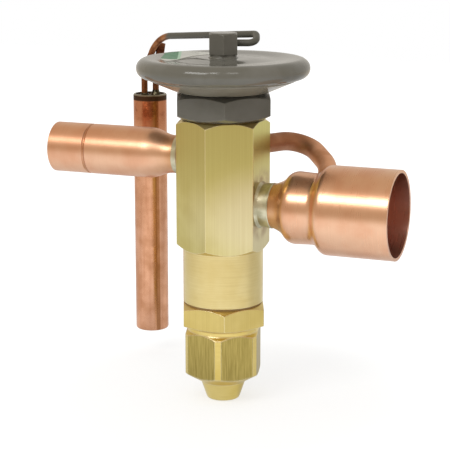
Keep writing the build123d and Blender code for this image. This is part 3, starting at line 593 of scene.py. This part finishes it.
def spring_length(name, first_turn, last_turn, ground, up):
    """Round spring wire wound between two turns, with one end ground flat at a height in mm.

    up is 1 where the ground face looks down, and -1 where it looks up.
    """
    corners, faces = [], []
    rings = round((last_turn - first_turn) * RINGS_A_TURN)
    for ring in range(rings + 1):
        turn = first_turn + (last_turn - first_turn) * ring / rings
        height = SPRING_START + turn * SPRING_PITCH
        left_on = max(-CUT_LIMIT, min(CUT_LIMIT, (height - ground) * up / WIRE_RADIUS))
        first = -math.asin(left_on)
        for corner in range(CORNERS_A_RING):
            angle = first + (math.pi - 2 * first) * corner / (CORNERS_A_RING - 1)
            out = SPRING_RADIUS + WIRE_RADIUS * math.cos(angle)
            corners.append((VALVE_AXIS[0] + out * MM * math.cos(turn * math.tau),
                            VALVE_AXIS[1] + out * MM * math.sin(turn * math.tau),
                            (height + up * WIRE_RADIUS * math.sin(angle)) * MM))
    for ring in range(rings):
        here, there = ring * CORNERS_A_RING, (ring + 1) * CORNERS_A_RING
        for corner in range(CORNERS_A_RING):
            after = (corner + 1) % CORNERS_A_RING
            faces.append((there + corner, there + after, here + after, here + corner)[::up])
    near_end = tuple(range(CORNERS_A_RING))
    far_end = tuple(rings * CORNERS_A_RING + corner for corner in near_end)
    faces += [near_end[::up], far_end[::-up]]
    mesh = bpy.data.meshes.new(name)
    mesh.from_pydata(corners, [], faces)
    mesh.materials.append(finishes["superheat_spring"])
    for face in mesh.polygons:
        face.use_smooth = True
    length = bpy.data.objects.new(name, mesh)
    bpy.context.scene.collection.objects.link(length)
    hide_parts("superheat_spring")
    return length


# The coil is made as a lower and an upper length, which meet SPRING_SPLIT turns up
lower_turns = spring_length("spring_lower_turns", 0, SPRING_SPLIT, SPRING_FOOT, 1)
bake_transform(lower_turns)
upper_turns = spring_length("spring_upper_turns", SPRING_SPLIT, SPRING_END, SPRING_TOP, -1)
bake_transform(upper_turns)


# ---------------------------------------------------------------- floor, studio and camera

FLOOR_GAP = 0.2 * MM
FLOOR_REACH = 1.1

# In metres from the foot of the valve axis: the middle of the bright floor in front that the metal mirrors,
# and of the valve's own shade in it. DIM_SIDE is the way from there to the dimmer floor at the back
POOL = (0.04, -0.19, 0)
SHADE = (-0.02, 0, 0)
DIM_SIDE = (0.819, 0.574, 0)


def studio_floor():
    """Pale paper floor: white to the eye and in the metal, with the valve's soft shadow on it."""
    low = cad_box[0].z - FLOOR_GAP
    mesh = bpy.data.meshes.new("studio_floor")
    corners = [(sx * FLOOR_REACH, sy * FLOOR_REACH, low) for sx, sy in ((-1, -1), (1, -1), (1, 1), (-1, 1))]
    mesh.from_pydata(corners, [], [(0, 1, 2, 3)])
    floor = bpy.data.objects.new("studio_floor", mesh)
    bpy.context.scene.collection.objects.link(floor)

    material, tree = emptied(bpy.data.materials.new("studio_paper"))
    path = add(tree, "LightPath", out=None)
    here = add(tree, "NewGeometry", out=None)
    place_on_floor = add(tree, "VectorMath", here["Position"], (*VALVE_AXIS[:2], low), operation="SUBTRACT")
    away = add(tree, "VectorMath", place_on_floor, operation="LENGTH", out=1)
    from_pool = add(tree, "VectorMath", place_on_floor, POOL, operation="SUBTRACT")
    from_pool = add(tree, "VectorMath", from_pool, operation="LENGTH", out=1)
    from_shade = add(tree, "VectorMath", place_on_floor, SHADE, operation="SUBTRACT")
    from_shade = add(tree, "VectorMath", from_shade, operation="LENGTH", out=1)
    behind = add(tree, "VectorMath", place_on_floor, operation="NORMALIZE")
    behind = add(tree, "VectorMath", behind, DIM_SIDE, operation="DOT_PRODUCT", out=1)
    shade = add(tree, "MapRange", from_shade, 0.02, 0.11, 0.7, 1.0, **SMOOTH)
    glow = add(tree, "MapRange", from_pool, 0.12, 0.33, 1.12, 0.78, **SMOOTH)
    dim_side = add(tree, "MapRange", behind, 0.8, 0.97, 1.0, 0.82, **SMOOTH)
    pool = add(tree, "Math", shade, glow, operation="MULTIPLY")
    pool = add(tree, "Math", pool, dim_side, operation="MULTIPLY")
    far_off = add(tree, "MapRange", away, 0.26, 0.48, **SMOOTH)
    pool_tone = add(tree, "Mix", {0: far_off, 6: "#FFFFFF", 7: "#FFF3E2"}, **TONES)
    paper = add(tree, "BsdfDiffuse", {"Color": "#F2F2F0"})
    seen = add(tree, "Emission", {"Color": "#FFFFFF", "Strength": 1.23})
    mirrored = add(tree, "Emission", {"Color": pool_tone, "Strength": pool})
    white_share = add(tree, "MapRange", away, 0.05, 0.13, 0.55, 1.0, **SMOOTH)
    white_share = add(tree, "Math", path["Is Camera Ray"], white_share, operation="MULTIPLY")
    to_the_eye = add(tree, "MixShader", white_share, paper, seen)
    in_metal = add(tree, "MixShader", path["Is Glossy Ray"], to_the_eye, mirrored)
    clear = add(tree, "BsdfTransparent")
    from_below = add(tree, "MixShader", here["Backfacing"], in_metal, clear)
    add(tree, "OutputMaterial", from_below, out=None)
    mesh.materials.append(material)


def studio_world():
    """White backdrop. Metal sees it behind the valve, a mid grey ceiling, and a dimmer room in front."""
    world, tree = emptied(bpy.data.worlds.new("studio"))
    bpy.context.scene.world = world
    path = add(tree, "LightPath", out=None)
    _, back, up = add(tree, "SeparateXYZ", add(tree, "TexCoord", out="Generated"), out=None)
    level = add(tree, "MapRange", back, -0.7, 0.9, 0.55, 0.7, **SMOOTH)
    ceiling = add(tree, "MapRange", up, 0.35, 0.9, **SMOOTH)
    level = add(tree, "Mix", {0: ceiling, 2: level, 3: 0.6})
    behind = add(tree, "MapRange", back, 0.2, 0.9, **SMOOTH)
    room_tone = add(tree, "Mix", {0: behind, 6: "#FFEBD0", 7: "#FFF9EF"}, **TONES)
    in_metal = add(tree, "Background", {"Color": room_tone, "Strength": level})
    soft_fill = add(tree, "Background", {"Color": "#FFFFFF", "Strength": 0.7})
    backdrop = add(tree, "Background", {"Color": "#FFFFFF", "Strength": 1.0})
    lit = add(tree, "MixShader", path["Is Glossy Ray"], soft_fill, in_metal)
    shown = add(tree, "Math", path["Is Camera Ray"], path["Is Transmission Ray"], operation="MAXIMUM")
    add(tree, "OutputWorld", add(tree, "MixShader", shown, lit, backdrop), out=None)


# The point that the camera and the lamps face, and where they stand from it. The lens is in mm
AIM = Vector((-62.69, 0.23, -8.38)) * MM
LAMP_DISTANCE = 0.9
CAMERA_PLACE = Vector((125.35, -469.42, 104.04)) * MM
SENSOR_WIDTH, LENS = 36, 118.14
NEAREST, FARTHEST = 0.01, 10


def softbox(name, azimuth, elevation, width, height, radiance):
    """Area lamp facing the valve. Azimuth 0 is in front, towards -Y, and grows towards +X."""
    a, e = math.radians(azimuth), math.radians(elevation)
    towards = Vector((math.sin(a) * math.cos(e), -math.cos(a) * math.cos(e), math.sin(e)))
    lamp = bpy.data.lights.new(name, "AREA")
    lamp.shape, lamp.size, lamp.size_y = "RECTANGLE", width, height
    lamp.energy = radiance * math.pi * width * height
    made = bpy.data.objects.new(name, lamp)
    made.location = AIM + towards * LAMP_DISTANCE
    made.rotation_euler = towards.to_track_quat("Z", "Y").to_euler()
    bpy.context.scene.collection.objects.link(made)


def valve_camera():
    """Long lens from the front right, a little above the valve."""
    data = bpy.data.cameras.new("camera")
    data.sensor_width, data.lens = SENSOR_WIDTH, LENS
    data.clip_start, data.clip_end = NEAREST, FARTHEST
    camera = bpy.data.objects.new("camera", data)
    camera.location = CAMERA_PLACE
    camera.rotation_euler = (camera.location - AIM).to_track_quat("Z", "Y").to_euler()
    bpy.context.scene.collection.objects.link(camera)
    bpy.context.scene.camera = camera


studio_floor()
studio_world()
# Azimuth and elevation in degrees, width and height in metres, radiance
softbox("key", -18, 39.5, 0.42, 0.23, 5.6)
softbox("front_left", 8, 46, 0.13, 0.18, 6.0)
softbox("front_right", 36, 46, 0.18, 0.18, 3.0)
valve_camera()
bpy.context.scene.view_settings.view_transform = "Standard"
